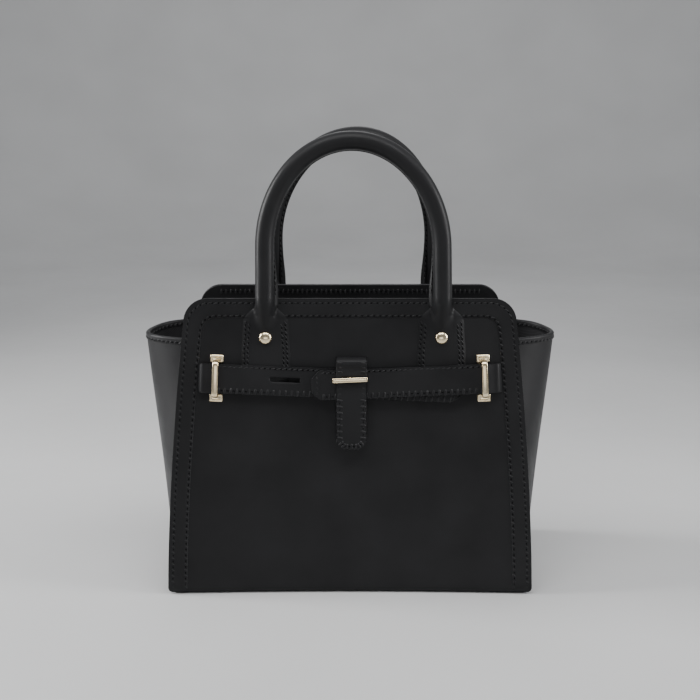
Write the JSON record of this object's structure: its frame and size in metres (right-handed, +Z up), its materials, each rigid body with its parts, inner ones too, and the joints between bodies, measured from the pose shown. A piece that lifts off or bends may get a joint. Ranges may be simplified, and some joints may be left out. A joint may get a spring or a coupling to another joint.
{
  "type": "top handle bag",
  "caption": "Structured leather bag with two rolled top handles, winged sides and a front strap closure held by a metal toggle bar.",
  "frame": {"origin": "centre of the base, on the surface that the bag stands on", "axes": "+Z up, the front with the straps faces -Y, +X to the right of someone who looks at the front"},
  "size_m": [0.3494, 0.1426, 0.3804],
  "materials": {
    "leather": "smooth black calf leather, satin",
    "handle_leather": "smooth black leather, semi-gloss",
    "leather_edge": "black leather with painted edge",
    "lining_cloth": "black twill lining",
    "board": "bonded fibre board, hidden",
    "filler_cord": "twisted cotton filler cord, hidden",
    "gold_metal": "pale gold plating, polished",
    "plain_steel": "plain nickel-plated steel, hidden"
  },
  "bodies": {
    "root": {"front_panel": "leather", "back_panel": "leather", "base_panel": "leather", "left_gusset": "leather", "right_gusset": "leather", "front_border": "leather", "back_border": "leather", "front_facing": "leather", "back_facing": "leather", "front_left_tab": "leather", "front_right_tab": "leather", "back_left_tab": "leather", "back_right_tab": "leather", "left_strap": "leather", "right_strap": "leather", "tongue_root": "leather", "left_rim_binding": "leather_edge", "right_rim_binding": "leather_edge", "front_lining": "lining_cloth", "back_lining": "lining_cloth", "left_lining": "lining_cloth", "right_lining": "lining_cloth", "base_lining": "lining_cloth", "front_stiffener": "board", "back_stiffener": "board", "base_board": "board", "front_rivets": "gold_metal", "back_rivets": "gold_metal", "left_keeper": "gold_metal", "right_keeper": "gold_metal", "toggle_bush": "gold_metal", "rivet_washers": "plain_steel", "keeper_backing_plates": "plain_steel", "toggle_backing_ring": "plain_steel"},
    "front_handle": {"front_handle_cover": "handle_leather", "front_handle_core": "filler_cord"},
    "back_handle": {"back_handle_cover": "handle_leather", "back_handle_core": "filler_cord"},
    "toggle": {"toggle_stem": "gold_metal", "toggle_bar": "gold_metal"},
    "tongue": {"tongue_flap": "leather"}
  },
  "joints": [
    {"name": "front_handle_tilt", "type": "hinge", "parent": "root", "child": "front_handle", "pos_m": [0, -0.05245, 0.24575], "axis": [-1, 0, 0], "range_deg": [-45, 13]},
    {"name": "back_handle_tilt", "type": "hinge", "parent": "root", "child": "back_handle", "pos_m": [0, 0.05245, 0.24575], "axis": [1, 0, 0], "range_deg": [-45, 13]},
    {"name": "toggle_turn", "type": "hinge", "parent": "root", "child": "toggle", "pos_m": [0, -0.05117, 0.1785], "axis": [0, -0.9939, 0.1104], "range_deg": [-90, 0]},
    {"name": "tongue_lift", "type": "hinge", "parent": "root", "child": "tongue", "pos_m": [0.0012, -0.06153, 0.16311], "axis": [-1, 0, 0], "range_deg": [0, 70]}
  ]
}
